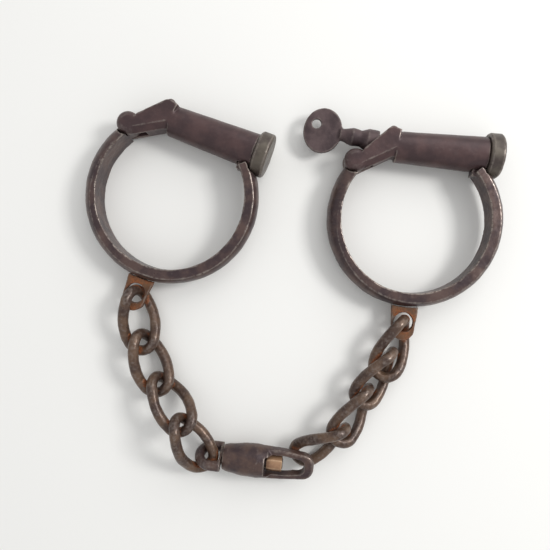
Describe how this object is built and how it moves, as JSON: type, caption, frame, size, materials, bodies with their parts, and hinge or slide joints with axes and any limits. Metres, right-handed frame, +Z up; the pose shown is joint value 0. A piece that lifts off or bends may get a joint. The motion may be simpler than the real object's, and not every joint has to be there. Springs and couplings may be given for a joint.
{
  "type": "screw-key barrel handcuffs",
  "caption": "Antique iron cuffs with hinged round bows, barrel locks opened by a screw key, joined by a chain of oval links with a swivel.",
  "frame": {"origin": "centre of the bounding box's bottom face, which is the table that the cuffs lie on", "axes": "+Z up; +X to the right and +Y away, seen from above with the cuffs at the far side and the chain nearer; lengths in metres"},
  "size_m": [0.2194, 0.1984, 0.0269],
  "materials": {
    "bow_iron": "dark brown worn wrought iron, semi-gloss, bright at the edges",
    "lock_iron": "dark purple-brown worn iron, semi-gloss",
    "cap_iron": "worn olive-grey iron",
    "lug_rust": "rusted iron, orange-brown, matt",
    "chain_iron": "dark brown iron wire, rust in the crotches",
    "swivel_iron": "dark brown worn iron",
    "nut_bronze": "dull tan-brown",
    "key_iron": "dark worn iron",
    "lock_steel": "plain steel, oiled"
  },
  "bodies": {
    "swivel": {"swivel_frame": "swivel_iron"},
    "eye": {"swivel_eye": "swivel_iron", "swivel_nut": "nut_bronze"},
    "left_link_1": {"left_link_1": "chain_iron"},
    "left_link_2": {"left_link_2": "chain_iron"},
    "left_link_3": {"left_link_3": "chain_iron"},
    "left_link_4": {"left_link_4": "chain_iron"},
    "right_link_1": {"right_link_1": "chain_iron"},
    "right_link_2": {"right_link_2": "chain_iron"},
    "right_link_3": {"right_link_3": "chain_iron"},
    "right_link_4": {"right_link_4": "chain_iron"},
    "left_bow": {"left_bow": "bow_iron", "left_chain_lug": "lug_rust"},
    "right_bow": {"right_bow": "bow_iron", "right_chain_lug": "lug_rust"},
    "left_lock": {"left_lock_barrel": "lock_iron", "left_end_cap": "cap_iron", "left_hinge_pin": "lock_iron", "left_guide_collar": "lock_steel", "left_bolt_spring": "lock_steel"},
    "right_lock": {"right_lock_barrel": "lock_iron", "right_end_cap": "cap_iron", "right_hinge_pin": "lock_iron", "right_guide_collar": "lock_steel", "right_bolt_spring": "lock_steel"},
    "left_bolt": {"left_lock_bolt": "lock_steel"},
    "right_bolt": {"right_lock_bolt": "lock_steel"},
    "key": {"key": "key_iron"}
  },
  "joints": [
    {"name": "swivel_turn", "type": "hinge", "parent": "swivel", "child": "eye", "pos_m": [-0.0208, -0.08946, 0.00999], "axis": [0.994, -0.0957, 0.0523], "continuous": true},
    {"name": "left_link_4_swing", "type": "hinge", "parent": "eye", "child": "left_link_4", "pos_m": [-0.04664, -0.08439, -0.00444], "axis": [0, -0.2079, 0.9781], "range_deg": [0, 14]},
    {"name": "left_link_3_swing", "type": "hinge", "parent": "left_link_4", "child": "left_link_3", "pos_m": [-0.05901, -0.06854, 0.0116], "axis": [0, 0, 1], "range_deg": [0, 14]},
    {"name": "left_link_2_swing", "type": "hinge", "parent": "left_link_3", "child": "left_link_2", "pos_m": [-0.07523, -0.04936, 0.02442], "axis": [0, 0, 1], "range_deg": [0, 10]},
    {"name": "left_link_1_swing", "type": "hinge", "parent": "left_link_2", "child": "left_link_1", "pos_m": [-0.08495, -0.03194, 0.02201], "axis": [0, -0.4226, 0.9063], "range_deg": [0, 14]},
    {"name": "left_cuff_swing", "type": "hinge", "parent": "left_link_1", "child": "left_bow", "pos_m": [-0.08859, -0.01073, 0.01779], "axis": [0, -0.4226, 0.9063], "range_deg": [0, 10]},
    {"name": "left_cuff_open", "type": "hinge", "parent": "left_bow", "child": "left_lock", "pos_m": [-0.08565, 0.08725, 0.00903], "axis": [-0.0418, -0.0032, 0.9991], "range_deg": [0, 100]},
    {"name": "left_bolt_throw", "type": "slide", "parent": "left_lock", "child": "left_bolt", "axis": [0.9335, -0.3565, 0.0379], "range_m": [0, 0.0032], "stiffness_N_per_m": 700, "springref_m": 0.006},
    {"name": "right_link_4_swing", "type": "hinge", "parent": "swivel", "child": "right_link_4", "pos_m": [0.00175, -0.08294, 0.00836], "axis": [0, 0, -1], "range_deg": [0, 15]},
    {"name": "right_link_3_swing", "type": "hinge", "parent": "right_link_4", "child": "right_link_3", "pos_m": [0.02684, -0.07383, 0.00755], "axis": [0, 0, -1], "range_deg": [0, 10]},
    {"name": "right_link_2_swing", "type": "hinge", "parent": "right_link_3", "child": "right_link_2", "pos_m": [0.03645, -0.05966, -0.0047], "axis": [0, -0.4226, -0.9063], "range_deg": [0, 14]},
    {"name": "right_link_1_swing", "type": "hinge", "parent": "right_link_2", "child": "right_link_1", "pos_m": [0.04338, -0.03607, 0.01187], "axis": [0, 0, -1], "range_deg": [0, 5]},
    {"name": "right_cuff_swing", "type": "hinge", "parent": "right_link_1", "child": "right_bow", "pos_m": [0.05788, -0.01708, 0.00852], "axis": [0, 0, -1], "range_deg": [0, 12]},
    {"name": "right_cuff_open", "type": "hinge", "parent": "right_bow", "child": "right_lock", "pos_m": [0.03271, 0.06798, 0.00903], "axis": [-0.0396, -0.0139, 0.9991], "range_deg": [0, 60]},
    {"name": "right_bolt_throw", "type": "slide", "parent": "right_lock", "child": "right_bolt", "axis": [0.994, -0.1027, 0.0379], "range_m": [0, 0.0032]},
    {"name": "key_turn", "type": "hinge", "parent": "right_lock", "child": "key", "pos_m": [0.06054, 0.07486, 0.01023], "axis": [-0.9771, 0.2095, -0.0358], "range_deg": [0, 770]}
  ],
  "couplings": [
    {"joint": "key_turn", "follows": "right_bolt_throw", "rad_per_m": 4188.8}
  ]
}
